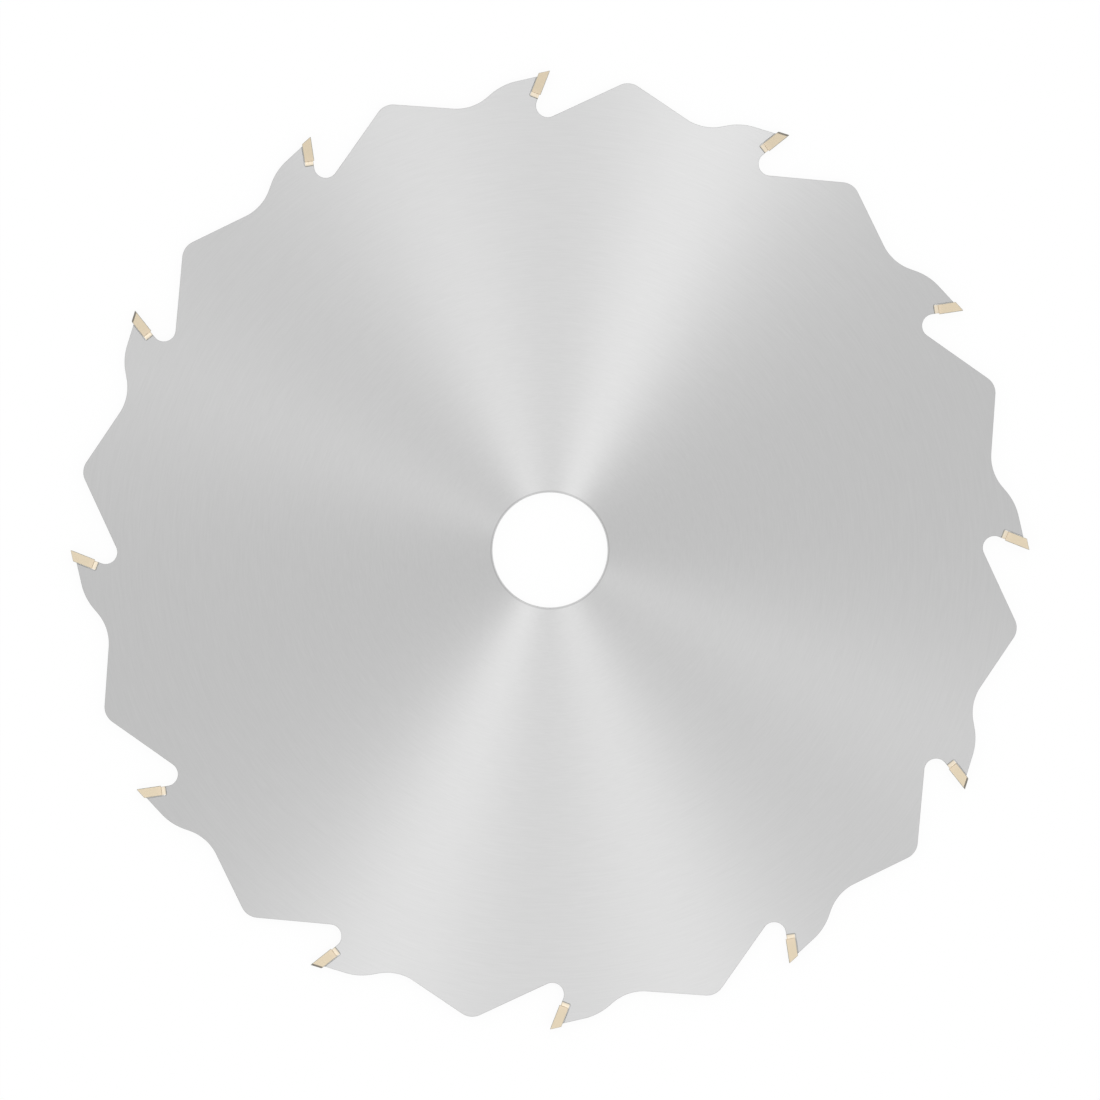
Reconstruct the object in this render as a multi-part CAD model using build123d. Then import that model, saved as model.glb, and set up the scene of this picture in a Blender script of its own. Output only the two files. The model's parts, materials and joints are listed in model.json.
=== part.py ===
from build123d import *
import math
import os

# A circular saw blade for timber: a laser-cut steel disc with a plain bore, whose
# teeth carry carbide tips brazed into notches. A shoulder ahead of each tooth's
# gullet keeps the next bite from being too deep.
# The blade lies in the XY plane with the bore on Z, and its origin is in the middle
# of the bore at half the disc's thickness. The first tooth's cutting edge is on +Y,
# and the teeth point clockwise as seen from +Z. Sizes are in millimetres and degrees.

# The disc
blade_diameter = 250.0
tooth_count = 12
bore_diameter = 30.0
bore_chamfer = 0.25
plate_thickness = 2.2

# The tips, which stand out beside the disc so that it runs free in the cut
tip_thickness = 2.5
tip_length = 6.8
tip_stand_out = 0.5
hook_angle = 21.5
top_clearance = 12.0
top_bevel = 10.0
raker_drop = 0.5
radial_relief = 1.5
tangential_relief = 2.5

# The braze that holds each tip in its notch: a film behind it and a bed below it
braze_film = 0.18
braze_bed = 1.25
notch_radius = 0.4

# The gullet ahead of each tooth: a straight wall, then a round bottom
face_stand_out = 0.3
gullet_wall = 0.6
gullet_radius = 3.1

# The rounded corners between a gullet and the next tooth's straight back. A depth is
# measured in from the cutting circle, and a share is how far along the way from one
# cutting edge to the next the corner lies.
shoulder_depth = 0.9
shoulder_share = 0.32
shoulder_radius = 4.8
valley_depth = 8.5
valley_share = 0.665
valley_radius = 12.2
crest_share = 0.805
crest_radius = 14.9
back_depth = 0.8
back_slope = 12.9

# The grinds follow each other round the blade. The number is the face of the disc
# that the tip's top slopes down to: -1 is -Z, 1 is +Z, and 0 is a top without slope.
grinds = [("right_bevel", -1), ("left_bevel", 1), ("raker", 0)]

pitch = 360 / tooth_count
kerf = plate_thickness + 2 * tip_stand_out
cutting_edge = Vector(0, blade_diameter / 2)
braze_back = -tip_thickness - braze_film
braze_floor = -tip_length - braze_bed

# Every tooth is drawn where the first one is. Its own frame starts at the cutting
# edge, with X straight ahead of the tip's face and Y up that face.
tooth = Plane(cutting_edge, x_dir=Vector(1, 0).rotate(Axis.Z, -hook_angle), z_dir=(0, 0, 1))


def heading(ahead, up, side=0):
    """A direction in the tooth's own frame."""
    return tooth.x_dir * ahead + tooth.y_dir * up + tooth.z_dir * side


def place(ahead, up, side=0):
    """A point in the tooth's own frame."""
    return cutting_edge + heading(ahead, up, side)


def turned(thing, teeth):
    """A vector or a shape taken clockwise round the blade by a number of teeth."""
    return thing.rotate(Axis.Z, -teeth * pitch)


def on_back(start, course):
    """Where a straight line meets the straight back of the first tooth."""
    back_course = Vector(1, 0).rotate(Axis.Z, back_slope)
    to_back = cutting_edge - Vector(0, back_depth) - start
    return start + course * (to_back.cross(back_course).Z / course.cross(back_course).Z)


def below_cut(depth, share):
    """A point below the cutting circle, some way on to the next tooth."""
    return turned(cutting_edge - Vector(0, depth), share)


def slab(corners, thickness):
    """A flat piece with straight edges, half on each side of the blade's plane."""
    return extrude(make_face(Polyline(*corners, close=True)), amount=thickness / 2, both=True)


def ramp_foot(gullet_centre, shoulder):
    """Where the ramp up to the shoulder leaves the gullet's round bottom."""
    to_shoulder = shoulder - gullet_centre
    rise = math.degrees(math.asin(gullet_radius / to_shoulder.length))
    return gullet_centre + to_shoulder.normalized().rotate(Axis.Z, rise - 90) * gullet_radius


def rim_of_one_tooth():
    """The disc's outline from the foot of one tooth's notch to the next one's."""
    wall_top = place(-face_stand_out, braze_floor)
    wall_foot = place(-face_stand_out, braze_floor - gullet_wall)
    gullet_centre = wall_foot + heading(gullet_radius, 0)
    shoulder = below_cut(shoulder_depth, shoulder_share)
    valley = below_cut(valley_depth, valley_share)
    crest = turned(on_back(Vector(0, 0), turned(Vector(0, 1), crest_share - 1)), 1)
    notch_top = turned(on_back(place(braze_back, 0), heading(0, 1)), 1)
    notch_corner = turned(place(braze_back, braze_floor), 1)
    ramp_start = ramp_foot(gullet_centre, shoulder)
    return [
        Line(wall_top, wall_foot),
        TangentArc(wall_foot, ramp_start, tangent=heading(0, -1)),
        FilletPolyline(ramp_start, shoulder, valley, crest, notch_top,
                       radius=[shoulder_radius, valley_radius, crest_radius]),
        FilletPolyline(notch_top, notch_corner, turned(wall_top, 1), radius=notch_radius),
    ]


def blade_plate():
    """The disc, with its toothed rim, its bore and the bore's chamfers."""
    one_tooth = [edge for stretch in rim_of_one_tooth() for edge in stretch.edges()]
    rim = [turned(edge, number) for number in range(tooth_count) for edge in one_tooth]
    plate = extrude(make_face(rim), amount=plate_thickness / 2, both=True)
    plate -= Cylinder(bore_diameter / 2, plate_thickness)
    bore_edges = [edge for face in plate.faces().filter_by(Axis.Z)
                  for wire in face.inner_wires() for edge in wire.edges()]
    return chamfer(bore_edges, bore_chamfer)


def ground(tip, start, outward):
    """What is left of a tip inside a plane that it is ground to."""
    return split(tip, bisect_by=Plane(start, z_dir=outward), keep=Keep.BOTTOM)


def carbide_tip(slope_side):
    """A tip, ground to its tapered sides and its top from a larger blank."""
    blank_top = tip_thickness
    tip = slab([place(0, blank_top), place(0, -tip_length),
                place(-tip_thickness, -tip_length), place(-tip_thickness, blank_top)], 2 * kerf)
    for side in (-1, 1):
        taper = heading(-math.tan(math.radians(tangential_relief)),
                        -math.tan(math.radians(radial_relief)), side)
        tip = ground(tip, place(0, 0, side * kerf / 2), taper)
    drop = 0 if slope_side else raker_drop
    slope = Vector(0, 1, slope_side * math.tan(math.radians(top_bevel)))
    return ground(tip, place(0, -drop, -slope_side * kerf / 2), slope.rotate(Axis.Z, top_clearance))


def braze():
    """The braze in one notch, flush with both faces of the disc."""
    film_top = on_back(place(-tip_thickness, 0), heading(0, 1))
    notch_top = on_back(place(braze_back, 0), heading(0, 1))
    notch_corner = place(braze_back, braze_floor)
    joint = slab([place(-face_stand_out, braze_floor), place(-face_stand_out, -tip_length),
                  place(-tip_thickness, -tip_length), film_top, notch_top, notch_corner],
                 plate_thickness)
    corner_edge = joint.edges().filter_by(Axis.Z).sort_by_distance(notch_corner)[0]
    return fillet(corner_edge, notch_radius)


os.makedirs("parts", exist_ok=True)
export_step(blade_plate(), "parts/blade_plate.step")
for number in range(tooth_count):
    grind, slope_side = grinds[number % len(grinds)]
    tip_name = f"tip_{number + 1:02d}_{grind}"
    export_step(turned(carbide_tip(slope_side), number), f"parts/{tip_name}.step")
    export_step(turned(braze(), number), f"parts/braze_{number + 1:02d}.step")
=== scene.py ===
import json
import math

import bmesh
import bpy
from mathutils import Matrix, Vector


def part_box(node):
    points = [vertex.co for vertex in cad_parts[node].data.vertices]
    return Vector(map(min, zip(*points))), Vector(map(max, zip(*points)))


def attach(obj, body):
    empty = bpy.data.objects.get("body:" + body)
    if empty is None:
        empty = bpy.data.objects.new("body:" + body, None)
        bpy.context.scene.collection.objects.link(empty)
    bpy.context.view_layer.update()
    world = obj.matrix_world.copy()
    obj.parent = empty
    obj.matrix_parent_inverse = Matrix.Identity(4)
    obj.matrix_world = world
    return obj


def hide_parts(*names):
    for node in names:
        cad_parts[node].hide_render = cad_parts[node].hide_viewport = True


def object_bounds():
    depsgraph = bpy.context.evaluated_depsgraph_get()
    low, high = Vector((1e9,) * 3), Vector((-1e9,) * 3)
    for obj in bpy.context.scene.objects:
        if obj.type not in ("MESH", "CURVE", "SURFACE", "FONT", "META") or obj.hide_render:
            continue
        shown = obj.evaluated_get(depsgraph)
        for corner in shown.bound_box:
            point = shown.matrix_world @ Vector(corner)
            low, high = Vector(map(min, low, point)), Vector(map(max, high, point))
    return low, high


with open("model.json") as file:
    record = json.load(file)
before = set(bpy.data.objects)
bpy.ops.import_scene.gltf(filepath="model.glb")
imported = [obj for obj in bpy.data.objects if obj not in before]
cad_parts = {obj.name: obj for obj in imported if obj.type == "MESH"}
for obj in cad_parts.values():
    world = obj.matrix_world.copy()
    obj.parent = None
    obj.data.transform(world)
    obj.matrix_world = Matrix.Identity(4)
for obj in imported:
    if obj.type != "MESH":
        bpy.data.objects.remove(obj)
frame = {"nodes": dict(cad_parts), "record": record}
cad_box = [list(corner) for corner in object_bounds()]

# The blade plate
# One disc of saw steel, cut to its toothed outline by a laser, hardened and ground flat on
# both faces. The grinding leaves fine circles about the bore, and the bore's edges are turned.
mm = 0.001
teeth = sum(name.startswith("tip_") for name in frame["nodes"])
pitch = math.tau / teeth
cutting_radius = cad_box[1][1]
bore_radius = frame["record"]["mounts"][0]["dims"]["r_mm"] * mm
bore_chamfer = 0.25 * mm
edge_break = 0.07 * mm
plate_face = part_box("blade_plate")[1].z
hook_angle = math.radians(21.5)
tip_thickness = 2.5 * mm
tip_length = 6.8 * mm
braze_film, braze_bed = 0.18 * mm, 1.25 * mm
braze_back = -tip_thickness - braze_film
braze_floor = -tip_length - braze_bed
wall_ahead = -0.3 * mm
gullet_wall = 0.6 * mm
gullet_radius = 3.1 * mm
notch_radius = 0.4 * mm
shoulder_depth, shoulder_share, shoulder_radius = 0.9 * mm, 0.32, 4.8 * mm
valley_depth, valley_share, valley_radius = 8.5 * mm, 0.665, 12.2 * mm
crest_share, crest_radius = 0.805, 14.9 * mm
back_depth, back_slope = 0.8 * mm, math.radians(12.9)

# A sector of the disc runs from one ray, which crosses the slope behind a shoulder, to the
# same ray one tooth on. Inside the ring radius the disc is the same all round. The mesh of
# each half has rows of points down the rim's edge, in rings on the flat and down the bore.
sector_share = 0.47
ring_radius = 108 * mm
steps_in_sector = 32
rim_rows, rings, bore_rows = 3, 7, 2
points_in_arc = 22
smooth_angle = math.radians(25)
weld = 0.001 * mm

# A face counts as level, or as facing one way, where its normal goes at least this far that
# way. It counts as the bore's within this many times the bore's radius.
flat_normal = 0.9
bore_reach = 1.05

cutting_edge = Vector((0, cutting_radius, 0))
ahead = Vector((math.cos(hook_angle), -math.sin(hook_angle), 0))
up = Vector((math.sin(hook_angle), math.cos(hook_angle), 0))


def place(along, height):
    """A point in the first tooth's own frame, which lies in the face of its tip."""
    return cutting_edge + ahead * along + up * height


def turned(point, number):
    """A point taken clockwise round the blade by a number of teeth."""
    return Matrix.Rotation(-number * pitch, 3, "Z") @ point


def crossing(start, course, other, other_course):
    """Where two straight lines in the blade's plane cross."""
    gap = other - start
    return start + course * (gap.cross(other_course).z / course.cross(other_course).z)


def on_back(start, course):
    """Where a straight line meets the straight back of the first tooth."""
    back_course = Vector((math.cos(back_slope), math.sin(back_slope), 0))
    return crossing(start, course, cutting_edge - Vector((0, back_depth, 0)), back_course)


def below_cut(depth, share):
    """A point below the cutting circle, some way on to the next tooth."""
    return turned(cutting_edge - Vector((0, depth, 0)), share)


def gullet_corner(shoulder):
    """Where the gullet's wall would meet the ramp up to the shoulder, had it no round bottom."""
    wall_foot = place(wall_ahead, braze_floor - gullet_wall)
    centre = wall_foot + ahead * gullet_radius
    to_shoulder = shoulder - centre
    rise = math.asin(gullet_radius / to_shoulder.length)
    ramp = Matrix.Rotation(rise, 3, "Z") @ to_shoulder.normalized()
    return wall_foot - up * gullet_radius * math.tan((-up).angle(ramp) / 2)


def sector_outline():
    """The corners of one sector's rim, clockwise, each with the radius that rounds it."""
    shoulder = below_cut(shoulder_depth, shoulder_share)
    valley = below_cut(valley_depth, valley_share)
    crest_ray = turned(Vector((0, 1, 0)), crest_share - 1)
    start = crossing(Vector(), turned(Vector((0, 1, 0)), sector_share), shoulder, valley - shoulder)
    return [(start, 0), (valley, valley_radius),
            (turned(on_back(Vector(), crest_ray), 1), crest_radius),
            (turned(on_back(place(braze_back, 0), up), 1), 0),
            (turned(place(braze_back, braze_floor), 1), notch_radius),
            (turned(place(wall_ahead, braze_floor), 1), 0),
            (turned(gullet_corner(shoulder), 1), gullet_radius),
            (turned(shoulder, 1), shoulder_radius), (turned(start, 1), 0)]


def inside(corners, depth):
    """The same corners on a line that runs a little way inside the outline."""
    moved = []
    for number, (point, radius) in enumerate(corners):
        before = (point - corners[max(number - 1, 0)][0]).normalized()
        after = (corners[min(number + 1, len(corners) - 1)][0] - point).normalized()
        if 0 < number < len(corners) - 1:
            inward = [Vector((course.y, -course.x, 0)) for course in (before, after)]
            shift = (inward[0] + inward[1]) * depth / (1 + inward[0].dot(inward[1]))
            radius += math.copysign(depth, before.cross(after).z) if radius else 0
        else:
            course = before + after
            to_centre = -point.normalized()
            shift = to_centre * depth / Vector((course.y, -course.x, 0)).dot(to_centre)
        moved.append((point + shift, radius))
    return moved


def corner_mesh(name, *chains):
    """A mesh with one open chain of edges for each list of corners and their radii."""
    points, edges, radii = [], [], []
    for chain in chains:
        edges += [(len(points) + step, len(points) + step + 1) for step in range(len(chain) - 1)]
        points += [point for point, radius in chain]
        radii += [radius for point, radius in chain]
    mesh = bpy.data.meshes.new(name)
    mesh.from_pydata(points, edges, [])
    mesh.attributes.new("corner_radius", "FLOAT", "POINT").data.foreach_set("value", radii)
    return mesh


def node(tree, kind, links=None, **settings):
    """A new node with its settings, its inputs linked to sockets or set to values."""
    made = tree.nodes.new(kind)
    for setting, value in settings.items():
        setattr(made, setting, value)
    for name, value in (links or {}).items():
        shown = [socket for socket in made.inputs if socket.enabled]
        named = [socket for socket in shown if socket.name == name]
        socket = shown[name] if isinstance(name, int) else named[0]
        if isinstance(value, bpy.types.NodeSocket):
            tree.links.new(value, socket)
        else:
            socket.default_value = value
    return next((socket for socket in made.outputs if socket.enabled), made)


def maths(tree, operation, *values):
    """The result of one sum on numbers."""
    return node(tree, "ShaderNodeMath", dict(enumerate(values)), operation=operation)


def vector(tree, operation, *values):
    """The result of one sum on vectors."""
    return node(tree, "ShaderNodeVectorMath", dict(enumerate(values)), operation=operation)


def between(tree, share, low, high):
    """A value or a colour, part of the way from one to another."""
    ends = [(*end, 1) if isinstance(end, tuple) else end for end in (low, high)]
    colours = any(isinstance(end, tuple) or getattr(end, "type", "") == "RGBA" for end in ends)
    return node(tree, "ShaderNodeMix", {"Factor": share, "A": ends[0], "B": ends[1]},
                data_type="RGBA" if colours else "FLOAT")


def choice(tree, index, *values):
    """The number that an index picks from a few."""
    switch = tree.nodes.new("GeometryNodeIndexSwitch")
    switch.data_type = "FLOAT"
    while len(switch.index_switch_items) < len(values):
        switch.index_switch_items.new()
    tree.links.new(index, switch.inputs["Index"])
    for number, value in enumerate(values):
        if isinstance(value, bpy.types.NodeSocket):
            tree.links.new(value, switch.inputs[number + 1])
        else:
            switch.inputs[number + 1].default_value = value
    return switch.outputs[0]


def new_tree(name, **inputs):
    """An empty Geometry Nodes tree and its inputs by name: a mesh, then sizes and materials."""
    tree = bpy.data.node_groups.new(name, "GeometryNodeTree")
    tree.interface.new_socket("Geometry", in_out="INPUT", socket_type="NodeSocketGeometry")
    tree.interface.new_socket("Geometry", in_out="OUTPUT", socket_type="NodeSocketGeometry")
    kinds = {int: "NodeSocketInt", float: "NodeSocketFloat",
             bpy.types.Material: "NodeSocketMaterial"}
    for label, kind in inputs.items():
        tree.interface.new_socket(label, in_out="INPUT", socket_type=kinds[kind])
    return tree, tree.nodes.new("NodeGroupInput").outputs


def mesh_from(tree, base, name, **values):
    """An object that holds the plain mesh which a tree makes from a base mesh."""
    piece = bpy.data.objects.new(name, base)
    bpy.context.scene.collection.objects.link(piece)
    modifier = piece.modifiers.new(tree.name, "NODES")
    modifier.node_group = tree
    for socket in tree.interface.items_tree:
        if socket.name in values:
            modifier[socket.identifier] = values[socket.name]
    graph = bpy.context.evaluated_depsgraph_get()
    mesh = bpy.data.meshes.new_from_object(piece.evaluated_get(graph), depsgraph=graph)
    piece.modifiers.clear()
    piece.data = mesh
    mesh.name = name
    if None in list(mesh.materials):
        mesh.materials.pop(index=list(mesh.materials).index(None))
    return piece


def round_the_bore():
    """The tree that sets copies of a shape round the bore, each some teeth on from the last."""
    tree, given = new_tree("round_the_bore", Teeth=int, First_Tooth=int, Step=int)
    count = maths(tree, "DIVIDE", given["Teeth"], given["Step"])
    spots = node(tree, "GeometryNodeMeshLine", {"Count": count, "Offset": (0, 0, 0)})
    number = maths(tree, "MULTIPLY_ADD", node(tree, "GeometryNodeInputIndex"), given["Step"],
                   given["First_Tooth"])
    angle = maths(tree, "MULTIPLY", maths(tree, "DIVIDE", number, given["Teeth"]), -math.tau)
    turn = node(tree, "ShaderNodeCombineXYZ", {"Z": angle})
    copies = node(tree, "GeometryNodeInstanceOnPoints",
                  {"Points": spots, "Instance": given["Geometry"], "Rotation": turn})
    whole = node(tree, "GeometryNodeRealizeInstances", {"Geometry": copies})
    welded = node(tree, "GeometryNodeMergeByDistance", {"Geometry": whole, "Distance": weld})
    node(tree, "NodeGroupOutput", {"Geometry": welded})
    return tree


def half_sector(tree, given):
    """The upper half of one sector: the toothed face, the rim's edge, the core and the bore."""
    index = node(tree, "GeometryNodeInputIndex")
    lines = node(tree, "GeometryNodeMeshToCurve", {"Mesh": given["Geometry"]})
    radius = node(tree, "GeometryNodeInputNamedAttribute", {"Name": "corner_radius"})
    rounded = tree.nodes.new("GeometryNodeFilletCurve")
    rounded.mode = "POLY"
    tree.links.new(lines, rounded.inputs["Curve"])
    tree.links.new(radius, rounded.inputs["Radius"])
    tree.links.new(given["Arc_Points"], rounded.inputs["Count"])
    rounded = rounded.outputs[0]
    size = tree.nodes.new("GeometryNodeAttributeDomainSize")
    size.component = "CURVE"
    tree.links.new(rounded, size.inputs[0])
    points_in_line = maths(tree, "DIVIDE", size.outputs["Point Count"], 2)
    position = node(tree, "GeometryNodeInputPosition")

    def on_line(number):
        """A point of the two rounded lines, which follow one after the other."""
        return node(tree, "GeometryNodeSampleIndex", {"Geometry": rounded, "Value": position,
                    "Index": number}, data_type="FLOAT_VECTOR")

    def swung(radius, share, height):
        """A point at a radius and a height, some share of the way across the sector."""
        start = node(tree, "ShaderNodeCombineXYZ", {"Y": radius, "Z": height})
        angle = maths(tree, "MULTIPLY", maths(tree, "ADD", share, given["Sector_Share"]), -pitch)
        return node(tree, "ShaderNodeVectorRotate", {"Vector": start, "Angle": angle},
                    rotation_type="Z_AXIS")

    face = maths(tree, "DIVIDE", given["Thickness"], 2)
    broken = maths(tree, "SUBTRACT", face, given["Edge_Break"])
    column = maths(tree, "FLOOR", maths(tree, "DIVIDE", index, rim_rows))
    row = maths(tree, "MODULO", index, rim_rows)
    beyond = maths(tree, "MULTIPLY", points_in_line, maths(tree, "GREATER_THAN", row, 0.5))
    lift = node(tree, "ShaderNodeCombineXYZ", {"Z": choice(tree, row, face, broken, 0.0)})
    edge = node(tree, "GeometryNodeMeshGrid",
                {"Vertices X": points_in_line, "Vertices Y": rim_rows})
    edge = node(tree, "GeometryNodeSetPosition", {"Geometry": edge, "Offset": lift,
                "Position": on_line(maths(tree, "ADD", column, beyond))})

    last_step = maths(tree, "SUBTRACT", given["Steps"], 1)
    along_ring = maths(tree, "SUBTRACT", index, points_in_line)
    share = maths(tree, "SUBTRACT", 1, maths(tree, "DIVIDE", along_ring, last_step))
    on_ring = swung(given["Ring_Radius"], share, 0.0)
    still_on_line = maths(tree, "LESS_THAN", along_ring, -0.5)
    corner = node(tree, "GeometryNodeSwitch", {"Switch": still_on_line, "False": on_ring,
                  "True": on_line(index)}, input_type="VECTOR")
    fence = node(tree, "GeometryNodeMeshLine",
                 {"Count": maths(tree, "ADD", points_in_line, given["Steps"])})
    lift = node(tree, "ShaderNodeCombineXYZ", {"Z": face})
    fence = node(tree, "GeometryNodeSetPosition", {"Geometry": fence, "Position": corner})
    fence = node(tree, "GeometryNodeMeshToCurve", {"Mesh": fence})
    fence = node(tree, "GeometryNodeSetSplineCyclic", {"Geometry": fence, "Cyclic": True})
    toothed = node(tree, "GeometryNodeFillCurve", {"Curve": fence})
    toothed = node(tree, "GeometryNodeSetPosition", {"Geometry": toothed, "Offset": lift})

    rows = rings + bore_rows
    column = maths(tree, "FLOOR", maths(tree, "DIVIDE", index, rows))
    row = maths(tree, "MODULO", index, rows)
    share = maths(tree, "DIVIDE", column, last_step)
    mouth = maths(tree, "ADD", given["Bore_Radius"], given["Bore_Chamfer"])
    turned_down = maths(tree, "SUBTRACT", face, given["Bore_Chamfer"])
    inner_row = maths(tree, "MAXIMUM", maths(tree, "SUBTRACT", row, rings - 1), 0)
    way_in = maths(tree, "DIVIDE", row, rings - 1)
    ring = between(tree, way_in, given["Ring_Radius"], mouth)
    radius = choice(tree, inner_row, ring, given["Bore_Radius"], given["Bore_Radius"])
    height = choice(tree, inner_row, face, turned_down, 0.0)
    core = node(tree, "GeometryNodeMeshGrid", {"Vertices X": given["Steps"], "Vertices Y": rows})
    core = node(tree, "GeometryNodeSetPosition",
                {"Geometry": core, "Position": swung(radius, share, height)})
    core = node(tree, "GeometryNodeFlipFaces", {"Mesh": core})
    parts = tree.nodes.new("GeometryNodeJoinGeometry")
    for part in (edge, toothed, core):
        tree.links.new(part, parts.inputs[0])
    return parts.outputs[0]


def toothed_disc(round_tree):
    """The tree that makes the disc from the corners of one sector's rim."""
    steel = bpy.types.Material
    tree, given = new_tree("toothed_disc", Teeth=int, Sector_Share=float, Arc_Points=int,
                           Steps=int, Ring_Radius=float, Bore_Radius=float, Bore_Chamfer=float,
                           Thickness=float, Edge_Break=float,
                           Face_Steel=steel, Edge_Steel=steel, Bore_Steel=steel)
    upper = half_sector(tree, given)
    lower = node(tree, "GeometryNodeTransform", {"Geometry": upper, "Scale": (1, 1, -1)})
    lower = node(tree, "GeometryNodeFlipFaces", {"Mesh": lower})
    sector = tree.nodes.new("GeometryNodeJoinGeometry")
    tree.links.new(upper, sector.inputs[0])
    tree.links.new(lower, sector.inputs[0])
    repeat = tree.nodes.new("GeometryNodeGroup")
    repeat.node_tree = round_tree
    tree.links.new(sector.outputs[0], repeat.inputs["Geometry"])
    tree.links.new(given["Teeth"], repeat.inputs["Teeth"])
    repeat.inputs["First_Tooth"].default_value = 0
    repeat.inputs["Step"].default_value = 1
    bend = node(tree, "GeometryNodeInputMeshEdgeAngle")
    disc = node(tree, "GeometryNodeSetShadeSmooth", {"Geometry": repeat.outputs[0],
                "Selection": maths(tree, "GREATER_THAN", bend, smooth_angle),
                "Shade Smooth": False}, domain="EDGE")
    tilt = node(tree, "ShaderNodeSeparateXYZ", {0: node(tree, "GeometryNodeInputNormal")})
    tilt = tilt.node.outputs["Z"]
    level = maths(tree, "GREATER_THAN", maths(tree, "ABSOLUTE", tilt), flat_normal)
    disc = node(tree, "GeometryNodeSetMaterial",
                {"Geometry": disc, "Material": given["Face_Steel"]})
    disc = node(tree, "GeometryNodeSetMaterial", {"Geometry": disc, "Material": given["Edge_Steel"],
                "Selection": maths(tree, "LESS_THAN", level, 0.5)})
    distance = vector(tree, "LENGTH", node(tree, "GeometryNodeInputPosition"))
    bore_zone = maths(tree, "MULTIPLY", given["Bore_Radius"], bore_reach)
    in_bore = maths(tree, "LESS_THAN", distance, bore_zone)
    disc = node(tree, "GeometryNodeSetMaterial", {"Geometry": disc, "Material": given["Bore_Steel"],
                "Selection": maths(tree, "LESS_THAN", level, in_bore)})
    node(tree, "NodeGroupOutput", {"Geometry": disc})
    return tree


def wrapped(mesh):
    """Lays the disc out on one map, clockwise round the blade and outward from the bore."""
    faces_high, side_gap = 0.44, 0.46
    rim_foot, rim_top, bore_foot, bore_top = 0.92, 0.95, 0.965, 0.99
    out = mesh.uv_layers.new(name="OFBake").data
    for face in mesh.polygons:
        clock = math.atan2(face.center.x, face.center.y) / pitch - sector_share
        first_ray = math.floor(clock) + sector_share
        for corner in face.loop_indices:
            point = mesh.vertices[mesh.loops[corner].vertex_index].co
            angle = math.atan2(point.x, point.y) / pitch - first_ray
            angle = (angle + teeth / 2) % teeth - teeth / 2
            distance = Vector((point.x, point.y)).length
            height = point.z / plate_face / 2 + 0.5
            if abs(face.normal.z) > flat_normal:
                side = 0 if face.normal.z > 0 else side_gap
                across = side + faces_high * distance / cutting_radius
            elif distance < bore_reach * bore_radius:
                across = bore_foot + (bore_top - bore_foot) * height
            else:
                across = rim_foot + (rim_top - rim_foot) * height
            out[corner].uv = ((math.floor(clock) % teeth + angle) / teeth, across)


def surface_of(material):
    """The material's node tree, its shader, and the socket that gives a point on the object."""
    material.use_nodes = True
    tree = material.node_tree
    coordinates = tree.nodes.new("ShaderNodeTexCoord")
    return tree, tree.nodes["Principled BSDF"], coordinates.outputs["Object"]


def finish_with(tree, shader, colour=None, roughness=None, height=None, depth=0.0, **constants):
    """Links a shader to its colour, roughness and bump, and sets what is the same all over."""
    for label, socket in (("Base Color", colour), ("Roughness", roughness)):
        if socket:
            tree.links.new(socket, shader.inputs[label])
    if height:
        bump = node(tree, "ShaderNodeBump", {"Height": height, "Distance": depth, "Strength": 1.0})
        tree.links.new(bump, shader.inputs["Normal"])
    for label, value in constants.items():
        shader.inputs[label.replace("_", " ")].default_value = value


def fading(tree, value, full, none):
    """1 where a value is at or past one mark, and fading to 0 at another."""
    return node(tree, "ShaderNodeMapRange", {"Value": value, "From Min": none, "From Max": full},
                interpolation_type="SMOOTHSTEP")


def ring_noise(tree, from_bore, arc, width):
    """Noise in rings about the bore, of some width, each broken into arcs."""
    distance = vector(tree, "LENGTH", from_bore)
    round_it = vector(tree, "SCALE", vector(tree, "NORMALIZE", from_bore))
    round_it.node.inputs["Scale"].default_value = 1 / arc
    out = node(tree, "ShaderNodeCombineXYZ", {"Z": maths(tree, "DIVIDE", distance, width)})
    return node(tree, "ShaderNodeTexNoise",
                {"Vector": vector(tree, "ADD", round_it, out), "Scale": 1.0, "Detail": 2.0})


def ground_in_circles(material):
    """Steel ground in fine circles, which draw each highlight out along a ray, with painted shade
    in a narrow darker ring round the bore's mouth, where a rolled edge would be shaded."""
    tree, shader, point = surface_of(material)
    from_bore = vector(tree, "MULTIPLY", point, (1, 1, 0))
    tangent = vector(tree, "CROSS_PRODUCT", (0, 0, 1), vector(tree, "NORMALIZE", from_bore))
    tree.links.new(tangent, shader.inputs["Tangent"])
    scratches = ring_noise(tree, from_bore, arc=0.25, width=0.05 * mm)
    grain = ring_noise(tree, from_bore, arc=0.06, width=0.3 * mm)
    bands = ring_noise(tree, from_bore, arc=0.5, width=1.5 * mm)
    grain_share, scratch_share = 0.85, 0.4
    tone = between(tree, grain_share, bands, grain)
    tone = between(tree, scratch_share, tone, scratches)
    distance = vector(tree, "LENGTH", from_bore)
    # Painted shade: the face is darker in a narrow ring round the bore's mouth, in place of a
    # rolled edge's shading.
    mouth, shade_ring_width = bore_radius + bore_chamfer, 0.2 * mm
    painted_shade_ring = fading(tree, distance, full=mouth + shade_ring_width, none=mouth + 2 * shade_ring_width)
    ground = between(tree, tone, (0.50,) * 3, (0.597,) * 3)
    finish_with(tree, shader, colour=between(tree, painted_shade_ring, ground, (0.45,) * 3),
                roughness=between(tree, tone, 0.371, 0.423), height=scratches, depth=0.001 * mm,
                Metallic=1.0, Anisotropic=0.876, Anisotropic_Rotation=0.25)


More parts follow.
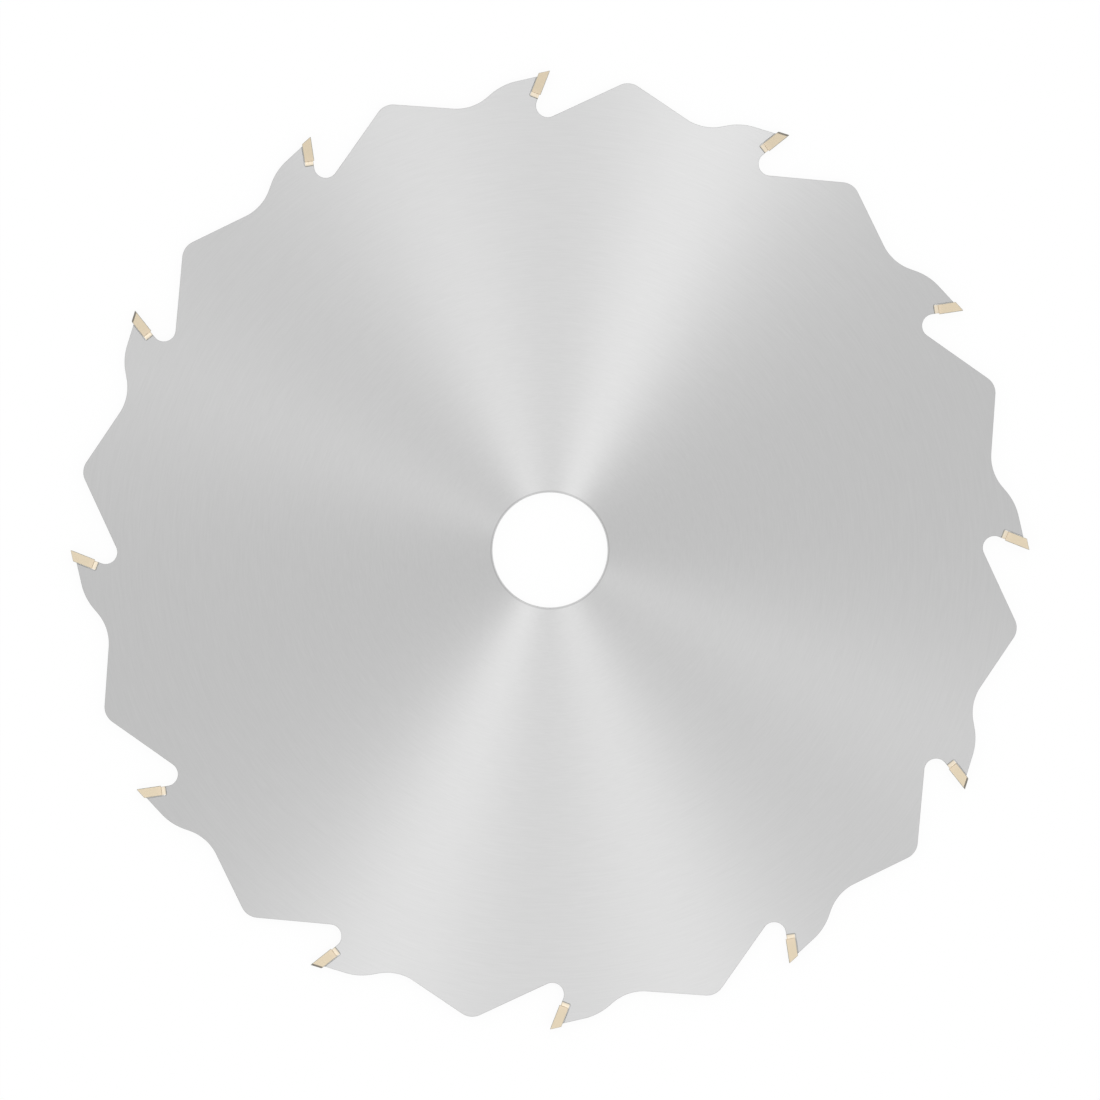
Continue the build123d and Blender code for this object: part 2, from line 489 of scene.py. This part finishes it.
def cut_by_laser(material):
    """The cut edge, with fine lines across its thickness from the laser."""
    line_width, squeeze = 0.22 * mm, 0.06
    tree, shader, point = surface_of(material)
    squeezed = vector(tree, "MULTIPLY", point, (1, 1, squeeze))
    lines = node(tree, "ShaderNodeTexNoise",
                 {"Vector": squeezed, "Scale": 1 / line_width, "Detail": 2.0})
    finish_with(tree, shader, colour=between(tree, lines, (0.36,) * 3, (0.46,) * 3),
                roughness=between(tree, lines, 0.38, 0.5), height=lines, depth=0.01 * mm,
                Metallic=1.0)


def bored(material):
    """The bore, bright from its last cut, with fine lines that run round it."""
    line_width, squeeze = 0.06 * mm, 0.02
    tree, shader, point = surface_of(material)
    squeezed = vector(tree, "MULTIPLY", point, (squeeze, squeeze, 1))
    lines = node(tree, "ShaderNodeTexNoise",
                 {"Vector": squeezed, "Scale": 1 / line_width, "Detail": 2.0})
    finish_with(tree, shader, colour=between(tree, lines, (0.62,) * 3, (0.70,) * 3),
                roughness=between(tree, lines, 0.28, 0.4), height=lines, depth=0.004 * mm,
                Metallic=1.0)


face_steel = bpy.data.materials.new("face_steel")
edge_steel = bpy.data.materials.new("edge_steel")
bore_steel = bpy.data.materials.new("bore_steel")
ground_in_circles(face_steel)
cut_by_laser(edge_steel)
bored(bore_steel)

round_tree = round_the_bore()
outline = sector_outline()
plate = mesh_from(toothed_disc(round_tree),
                  corner_mesh("sector_corners", inside(outline, edge_break), outline),
                  "ground_plate", Teeth=teeth, Sector_Share=sector_share, Arc_Points=points_in_arc,
                  Steps=steps_in_sector + 1, Ring_Radius=ring_radius, Bore_Radius=bore_radius,
                  Bore_Chamfer=bore_chamfer, Thickness=2 * plate_face, Edge_Break=edge_break,
                  Face_Steel=face_steel, Edge_Steel=edge_steel, Bore_Steel=bore_steel)
wrapped(plate.data)
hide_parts("blade_plate")
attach(plate, "root")

# The carbide tips
# Twelve small blocks of pressed and sintered carbide, brazed to the teeth and then ground on
# each side, on the face and on top. Their tops are bevelled right, left and not at all in turn.
half_kerf = cad_box[1][2]
radial_relief, tangential_relief = math.radians(1.5), math.radians(2.5)
top_clearance, top_bevel = math.radians(12), math.radians(10)
raker_drop = 0.5 * mm
honed_edge = 0.08 * mm
half_turned = 0.5
heel_top = -5.2 * mm
noise_step = 3.7
grinds = [("right_bevel", -1), ("left_bevel", 1), ("raker", 0)]


def ground_away(shape, point, outward):
    """Grinds a solid down to a plane and closes it there."""
    cut = bmesh.ops.bisect_plane(shape, geom=shape.verts[:] + shape.edges[:] + shape.faces[:],
                                 plane_co=point, plane_no=outward, clear_outer=True)
    rim = [edge for edge in cut["geom_cut"] if isinstance(edge, bmesh.types.BMEdge)]
    bmesh.ops.edgeloop_fill(shape, edges=rim)


def set_on_tooth(shape, name, *materials):
    """Takes a shape from its tooth's own frame to the first tooth, and notes where it was there."""
    shape.normal_update()
    noted = shape.verts.layers.float_vector.new("tooth_place")
    for corner in shape.verts:
        corner[noted] = corner.co / mm
        corner.co = place(corner.co.x, corner.co.y) + Vector((0, 0, corner.co.z))
    mesh = bpy.data.meshes.new(name)
    shape.to_mesh(mesh)
    shape.free()
    for material in materials:
        mesh.materials.append(material)
    return mesh


def tip_block(name, slope_side):
    """A tip ground from a larger blank, in its tooth's frame: X ahead of the face, Y up it and
    Z to the side."""
    blank = Matrix.LocRotScale((-tip_thickness / 2, 0, 0), None,
                               (tip_thickness, 2 * tip_length, 4 * half_kerf))
    shape = bmesh.new()
    bmesh.ops.create_cube(shape, size=1, matrix=blank)
    for side in (-1, 1):
        relief = Vector((-math.tan(tangential_relief), -math.tan(radial_relief), side))
        ground_away(shape, Vector((0, 0, side * half_kerf)), relief)
    drop = 0 if slope_side else raker_drop
    top = Vector((0, 1, slope_side * math.tan(top_bevel)))
    top = Matrix.Rotation(top_clearance, 3, "Z") @ top
    top = Vector((top.dot(ahead), top.dot(up), top.z))
    ground_away(shape, Vector((0, -drop, -slope_side * half_kerf)), top)
    bmesh.ops.recalc_face_normals(shape, faces=shape.faces)
    seated = -tip_length + honed_edge
    honed = [edge for edge in shape.edges if max(corner.co.y for corner in edge.verts) > seated]
    bmesh.ops.bevel(shape, geom=honed, offset=honed_edge, offset_type="OFFSET",
                    segments=1, profile=0.5, affect="EDGES")
    shape.normal_update()
    for face in shape.faces:
        on_land = face.normal.dot(top) > half_turned or face.normal.x > flat_normal
        on_edge = max(abs(face.normal.z), -face.normal.x, -face.normal.y) < flat_normal
        face.material_index = 1 if on_land else 2 * on_edge
    return set_on_tooth(shape, name, tip_side, tip_land, tip_edge)


def tooth_place(tree):
    """Where a point is in its tooth's own frame, in millimetres."""
    given = tree.nodes.new("ShaderNodeAttribute")
    given.attribute_name = "tooth_place"
    return given.outputs["Vector"]


def on_tooth(tree, axis):
    """How far a point is along one axis of its tooth's own frame, in millimetres."""
    return node(tree, "ShaderNodeSeparateXYZ", {"Vector": tooth_place(tree)}).node.outputs[axis]


def tooth_noise(tree, point, stretch, detail):
    """Noise that is laid out on the tooth and differs from one tooth to the next."""
    across = node(tree, "ShaderNodeSeparateXYZ", {"Vector": point}).node
    turn = maths(tree, "ARCTAN2", across.outputs["X"], across.outputs["Y"])
    number = maths(tree, "ROUND", maths(tree, "DIVIDE", turn, pitch))
    moved_on = maths(tree, "MULTIPLY", number, noise_step)
    stretched = vector(tree, "MULTIPLY", tooth_place(tree), stretch)
    return node(tree, "ShaderNodeTexNoise", {"Vector": stretched, "W": moved_on, "Scale": 1.0,
                "Detail": detail}, noise_dimensions="4D")


def ground_carbide(material, dark, light, at_heel, **constants):
    """Carbide with a diamond wheel's fine straight lines up the tip, and paler near the braze."""
    tree, shader, point = surface_of(material)
    lines = tooth_noise(tree, point, stretch=(9, 0.8, 9), detail=3.0)
    heel = fading(tree, on_tooth(tree, "Y"), full=-tip_length / mm, none=heel_top / mm)
    ground = between(tree, lines, dark, light)
    finish_with(tree, shader, colour=between(tree, heel, ground, at_heel),
                roughness=between(tree, lines, 0.36, 0.46), height=lines, depth=0.004 * mm,
                Metallic=1.0, **constants)


tip_side = bpy.data.materials.new("tip_side")
tip_land = bpy.data.materials.new("tip_land")
tip_edge = bpy.data.materials.new("tip_edge")
ground_carbide(tip_side, (0.58, 0.50, 0.372), (0.64, 0.55, 0.41), at_heel=(0.645, 0.545, 0.41))
ground_carbide(tip_land, (0.315, 0.283, 0.235), (0.39, 0.352, 0.297), at_heel=(0.37, 0.34, 0.28),
               Specular_Tint=(0.45, 0.45, 0.43, 1))
ground_carbide(tip_edge, (0.30, 0.30, 0.26), (0.38, 0.38, 0.33), at_heel=(0.36, 0.36, 0.32))
for number, (grind, slope_side) in enumerate(grinds):
    tips = mesh_from(round_tree, tip_block(grind, slope_side), "tips_" + grind, Teeth=teeth,
                     First_Tooth=number, Step=len(grinds))
    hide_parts(*[name for name in frame["nodes"] if name.endswith(grind)])
    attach(tips, "root")

# The braze
# Silver braze holds each tip in its notch: a thin film behind the tip and a thicker bed below
# it. It was melted in, so it sinks a little in the film and climbs to the tip from the bed.
film_sink = 0.05 * mm
bed_climb = 0.14 * mm
stations_in_leg = 9
steps_in_arc = 5
points_across = 7

# The film's form turns into the bed's over a few stations, from a little before the corner.
stations_before_corner = 2
stations_to_turn = 4


def film_top(along):
    """Where a line up the tooth meets the disc's straight back, in the tooth's own frame."""
    top = on_back(place(along, 0), up)
    return Vector((along, (top - cutting_edge).dot(up), 0))


def leg(start, end, steps):
    """Points at even steps from one point towards another, without the last."""
    return [start.lerp(end, step / steps) for step in range(steps)]


def notch_arc():
    """Points round the notch's corner, from its back to its floor, without the last."""
    centre = Vector((braze_back + notch_radius, braze_floor + notch_radius, 0))
    turns = [math.pi / 2 * step / steps_in_arc for step in range(steps_in_arc)]
    return [centre - Vector((math.cos(turn), math.sin(turn), 0)) * notch_radius for turn in turns]


def braze_joint():
    """Braze in its tooth's frame, as closed sections from the film's top round to the face."""
    arc_end = braze_back + notch_radius
    floor_start = Vector((arc_end, braze_floor, 0))
    floor_end = Vector((wall_ahead, braze_floor, 0))
    at_plate = (leg(film_top(braze_back), Vector((braze_back, braze_floor + notch_radius, 0)),
                    stations_in_leg)
                + notch_arc()
                + leg(floor_start, floor_end, stations_in_leg) + [floor_end])
    tip_corner = Vector((-tip_thickness, -tip_length, 0))
    foot_start = Vector((arc_end, -tip_length, 0))
    foot_end = Vector((wall_ahead, -tip_length, 0))
    at_tip = (leg(film_top(-tip_thickness), tip_corner, stations_in_leg)
              + leg(tip_corner, foot_start, steps_in_arc)
              + leg(foot_start, foot_end, stations_in_leg) + [foot_end])
    shape = bmesh.new()
    sections = []
    for number, (plate_point, tip_point) in enumerate(zip(at_plate, at_tip)):
        stations_in = number - stations_in_leg + stations_before_corner
        bed = min(max(stations_in / stations_to_turn, 0), 1)
        top = []
        for step in range(points_across):
            share = step / (points_across - 1)
            lift = bed * bed_climb * share ** 2 - (1 - bed) * film_sink * math.sin(math.pi * share)
            top.append(plate_point.lerp(tip_point, share) + Vector((0, 0, plate_face + lift)))
        bottom = [Vector((point.x, point.y, -point.z)) for point in reversed(top)]
        sections.append([shape.verts.new(point) for point in top + bottom])
    for section, following in zip(sections, sections[1:]):
        for corner in range(len(section)):
            shape.faces.new([section[corner - 1], section[corner],
                             following[corner], following[corner - 1]])
    shape.faces.new(sections[0])
    shape.faces.new(sections[-1])
    bmesh.ops.recalc_face_normals(shape, faces=shape.faces)
    for face in shape.faces:
        face.smooth = len(face.verts) == 4
    return set_on_tooth(shape, "braze_joint", braze_skin)


def melted_braze(material):
    """Pale straw braze with a soft skin, which is grey in the film and along the notch's floor."""
    tip_back, notch_floor = -tip_thickness / mm, braze_floor / mm
    tree, shader, point = surface_of(material)
    film = fading(tree, on_tooth(tree, "X"), full=tip_back - 0.02, none=tip_back + 0.12)
    floor_line = fading(tree, on_tooth(tree, "Y"), full=notch_floor + 0.04,
                        none=notch_floor + 0.40)
    ripples = tooth_noise(tree, point, stretch=(1.6, 1.6, 1.6), detail=3.0)
    skin = between(tree, ripples, (0.67, 0.585, 0.46), (0.76, 0.67, 0.535))
    lined = between(tree, floor_line, skin, (0.41, 0.39, 0.34))
    finish_with(tree, shader, colour=between(tree, film, lined, (0.56, 0.56, 0.55)),
                roughness=between(tree, ripples, 0.38, 0.5), height=ripples, depth=0.02 * mm,
                Metallic=1.0)


braze_skin = bpy.data.materials.new("braze_skin")
melted_braze(braze_skin)
joints = mesh_from(round_tree, braze_joint(), "braze_joints", Teeth=teeth, First_Tooth=0, Step=1)
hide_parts(*[name for name in frame["nodes"] if name.startswith("braze_")])
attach(joints, "root")

# The floor
# A plain white sheet that the blade lies on. It mostly shows its own white, and the rest is
# the light that falls on it, so that it keeps the blade's soft shadow.
floor_reach = 4.0
seen_light = 0.93


def is_seen(tree):
    """1 for what is seen, straight or in metal, and 0 for what only lights the object."""
    rays = tree.nodes.new("ShaderNodeLightPath")
    straight = maths(tree, "MAXIMUM", rays.outputs["Is Camera Ray"], rays.outputs["Is Glossy Ray"])
    return maths(tree, "MAXIMUM", straight, rays.outputs["Is Transmission Ray"])


def white_sheet():
    """A white surface that is mostly its own seen colour, and partly the light that falls on it."""
    material = bpy.data.materials.new("white_sheet")
    material.use_nodes = True
    tree = material.node_tree
    tree.nodes.remove(tree.nodes["Principled BSDF"])
    lit = node(tree, "ShaderNodeBsdfDiffuse", {"Color": (1, 1, 1, 1)})
    plain = node(tree, "ShaderNodeEmission", {"Strength": 1.0})
    share = maths(tree, "MULTIPLY", is_seen(tree), seen_light)
    sheet = node(tree, "ShaderNodeMixShader", {0: share, 1: lit, 2: plain})
    tree.links.new(sheet, tree.nodes["Material Output"].inputs["Surface"])
    return material


floor_level = cad_box[0][2]
floor_mesh = bpy.data.meshes.new("floor")
floor_mesh.from_pydata([(x * floor_reach, y * floor_reach, floor_level)
                        for x, y in ((-1, -1), (1, -1), (1, 1), (-1, 1))], [], [(0, 1, 2, 3)])
floor_mesh.materials.append(white_sheet())
floor = bpy.data.objects.new("floor", floor_mesh)
bpy.context.scene.collection.objects.link(floor)

# The light
# Soft studio light from all round, and three soft lamps, which draw the bright rays on the
# ground steel. Bearings go clockwise from the first tooth.
around = 0.85


def add_lamp(name, bearing, height, power, spread):
    """A lamp far off, with its bearing, its height over the floor and its spread in degrees."""
    lamp = bpy.data.lights.new(name, "SUN")
    lamp.energy, lamp.angle = power, math.radians(spread)
    bearing, height = math.radians(bearing), math.radians(height)
    level = math.cos(height)
    towards = Vector((math.sin(bearing) * level, math.cos(bearing) * level, math.sin(height)))
    holder = bpy.data.objects.new(name, lamp)
    holder.rotation_euler = towards.to_track_quat("Z", "Y").to_euler()
    bpy.context.scene.collection.objects.link(holder)


world = bpy.data.worlds.new("studio")
bpy.context.scene.world = world
world.use_nodes = True
background = world.node_tree.nodes["Background"]
background.inputs["Color"].default_value = (1, 1, 1, 1)
strength = between(world.node_tree, is_seen(world.node_tree), around, 1.0)
world.node_tree.links.new(strength, background.inputs["Strength"])
add_lamp("lamp_right", bearing=21.5, height=64.3, power=0.247, spread=5.5)
add_lamp("lamp_below", bearing=162, height=67.4, power=0.186, spread=5.5)
add_lamp("lamp_low", bearing=115, height=61.2, power=0.100, spread=6.6)

# The camera
# It looks straight down on the blade from far off, with the first tooth at the top. The
# cutting circle takes up the same share of the picture's width as in the photograph.
blade_share_of_width = 959 / 1100
lens, sensor = 500, 36
camera_data = bpy.data.cameras.new("camera")
camera_data.lens, camera_data.sensor_width = lens, sensor
camera_data.clip_end = 100
camera = bpy.data.objects.new("camera", camera_data)
view_width = 2 * cutting_radius / blade_share_of_width
camera.location = (0, 0, half_kerf + view_width * lens / sensor)
bpy.context.scene.collection.objects.link(camera)
bpy.context.scene.camera = camera
bpy.context.scene.view_settings.view_transform = "Standard"
